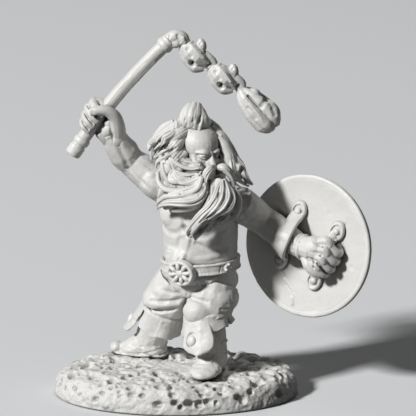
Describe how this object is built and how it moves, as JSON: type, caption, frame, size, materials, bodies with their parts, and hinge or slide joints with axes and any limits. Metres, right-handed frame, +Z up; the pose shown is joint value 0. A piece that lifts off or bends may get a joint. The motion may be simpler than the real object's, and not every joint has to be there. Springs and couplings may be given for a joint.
{
  "type": "warrior miniature",
  "caption": "Cast metal tabletop miniature of a stout bearded warrior on an oval mound, swinging a flail overhead, a round shield strapped to the other arm.",
  "frame": {"origin": "middle of the base's flat underside", "axes": "+Z up; -Y toward the person who looks at the warrior's front; +X to that person's right, where the shield is"},
  "size_m": [0.0332, 0.0178, 0.0386],
  "materials": {
    "stone": "pale matt primer on cast white metal, modelled as rough ground",
    "leather": "pale matt primer on cast white metal, modelled as leather boots, belt and straps",
    "skin": "pale matt primer on cast white metal, modelled as bare skin",
    "cloth": "pale matt primer on cast white metal, modelled as cloth trousers",
    "steel": "pale matt primer on cast white metal, modelled as iron fittings and flail",
    "wood": "pale matt primer on cast white metal, modelled as wooden haft and shield board",
    "hair": "pale matt primer on cast white metal, modelled as hair and beard"
  },
  "bodies": {
    "root": {"base_mound": "stone", "right_boot": "leather", "left_boot": "leather", "right_boot_cuff": "leather", "left_boot_cuff": "leather", "belt": "leather", "grip_strap": "leather", "arm_strap": "leather", "strap_tab_1": "leather", "strap_tab_2": "leather", "strap_tab_3": "leather", "strap_tab_4": "leather", "torso": "skin", "right_upper_arm": "skin", "right_forearm": "skin", "left_upper_arm": "skin", "left_forearm": "skin", "right_hand": "skin", "left_hand": "skin", "head": "skin", "trouser_seat": "cloth", "right_trouser_leg": "cloth", "left_trouser_leg": "cloth", "right_cuff_button": "steel", "left_cuff_button": "steel", "belt_buckle": "steel", "belt_stud": "steel", "flail_pommel": "steel", "flail_ferrule": "steel", "flail_hook": "steel", "flail_link_1": "steel", "flail_link_2": "steel", "flail_head": "steel", "shield_rim": "steel", "shield_boss": "steel", "flail_haft": "wood", "shield_board": "wood", "hair_crest": "hair", "hair_right": "hair", "hair_back": "hair", "hair_left": "hair", "moustache_right": "hair", "moustache_left": "hair", "beard_sweep": "hair", "beard_fall": "hair"}
  },
  "joints": []
}
